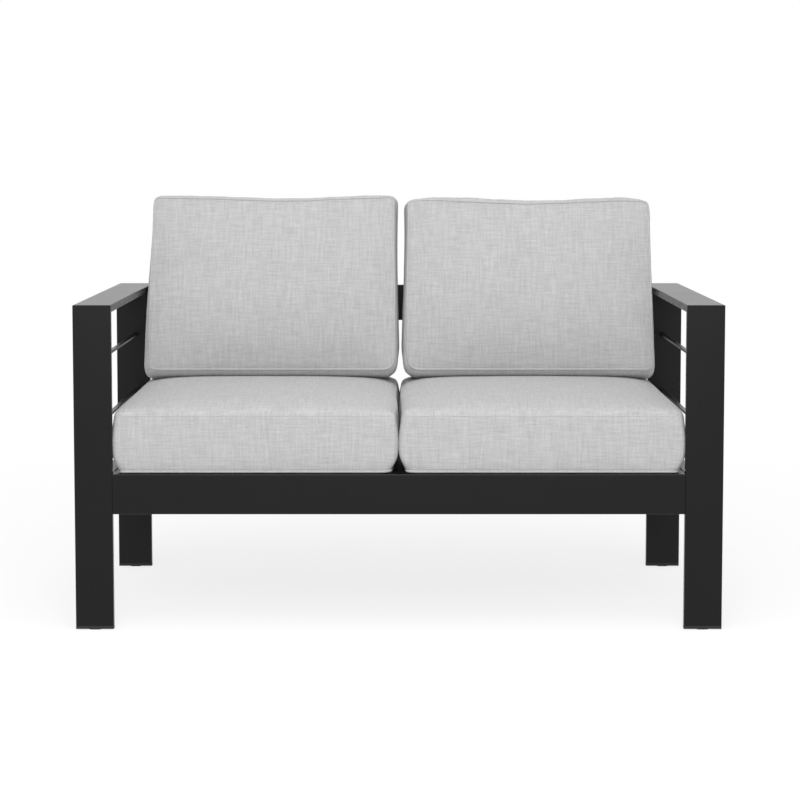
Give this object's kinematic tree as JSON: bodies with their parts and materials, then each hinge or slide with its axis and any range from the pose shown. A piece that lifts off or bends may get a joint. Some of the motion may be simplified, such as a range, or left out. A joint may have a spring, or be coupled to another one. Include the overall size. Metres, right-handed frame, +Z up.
{
  "type": "patio loveseat",
  "caption": "Outdoor loveseat: flat-tube metal frame with open slatted sides, a slatted seat deck, and loose boxed seat and back cushions.",
  "frame": {"origin": "on the floor, midway between the arms' outer sides and between the arms' front and rear ends", "axes": "+X to the right of a viewer who stands in front, +Y from the front to the back, +Z up"},
  "size_m": [1.28, 0.71, 0.8494],
  "materials": {
    "frame_coat": "fine-textured matt powder coat on aluminium, near black",
    "cap_plastic": "moulded black polyethylene",
    "plate_aluminium": "bare, milled",
    "bolt_steel": "stainless button heads",
    "rivet_nut_steel": "zinc plated",
    "cover_fabric": "light grey woven linen look",
    "foam": "cut polyurethane foam"
  },
  "bodies": {
    "frame": {"front_leg_left": "frame_coat", "front_leg_right": "frame_coat", "rear_leg_left": "frame_coat", "rear_leg_right": "frame_coat", "arm_left": "frame_coat", "arm_right": "frame_coat", "upper_side_slat_left": "frame_coat", "upper_side_slat_right": "frame_coat", "lower_side_slat_left": "frame_coat", "lower_side_slat_right": "frame_coat", "side_rail_left": "frame_coat", "side_rail_right": "frame_coat", "front_end_plate_left": "plate_aluminium", "front_end_plate_right": "plate_aluminium", "rear_end_plate_left": "plate_aluminium", "rear_end_plate_right": "plate_aluminium", "joining_plate_left": "frame_coat", "joining_plate_right": "frame_coat", "front_foot_cap_left": "cap_plastic", "front_foot_cap_right": "cap_plastic", "rear_foot_cap_left": "cap_plastic", "rear_foot_cap_right": "cap_plastic", "arm_end_cap_left": "cap_plastic", "arm_end_cap_right": "cap_plastic", "front_rail": "frame_coat", "rear_rail": "frame_coat", "back_top_rail": "frame_coat", "seat_brace": "frame_coat", "seat_slat_1": "frame_coat", "seat_slat_2": "frame_coat", "seat_slat_3": "frame_coat", "seat_slat_4": "frame_coat", "seat_slat_5": "frame_coat", "seat_slat_6": "frame_coat", "seat_slat_7": "frame_coat", "seat_slat_8": "frame_coat", "seat_slat_9": "frame_coat", "seat_frame_bolts": "bolt_steel", "back_rail_bolts": "bolt_steel", "rivet_nuts": "rivet_nut_steel"},
    "seat_cushion_left": {"seat_cushion_cover_left": "cover_fabric", "seat_cushion_foam_left": "foam"},
    "back_cushion_left": {"back_cushion_cover_left": "cover_fabric", "back_cushion_foam_left": "foam"},
    "seat_cushion_right": {"seat_cushion_cover_right": "cover_fabric", "seat_cushion_foam_right": "foam"},
    "back_cushion_right": {"back_cushion_cover_right": "cover_fabric", "back_cushion_foam_right": "foam"}
  },
  "joints": [
    {"name": "seat_cushion_left_lift", "type": "slide", "parent": "frame", "child": "seat_cushion_left", "axis": [0, 0, 1], "range_m": [0, 0.34]},
    {"name": "back_cushion_left_lift", "type": "slide", "parent": "seat_cushion_left", "child": "back_cushion_left", "axis": [0, 0, 1], "range_m": [0, 0.22]},
    {"name": "seat_cushion_right_lift", "type": "slide", "parent": "frame", "child": "seat_cushion_right", "axis": [0, 0, 1], "range_m": [0, 0.34]},
    {"name": "back_cushion_right_lift", "type": "slide", "parent": "seat_cushion_right", "child": "back_cushion_right", "axis": [0, 0, 1], "range_m": [0, 0.22]}
  ]
}
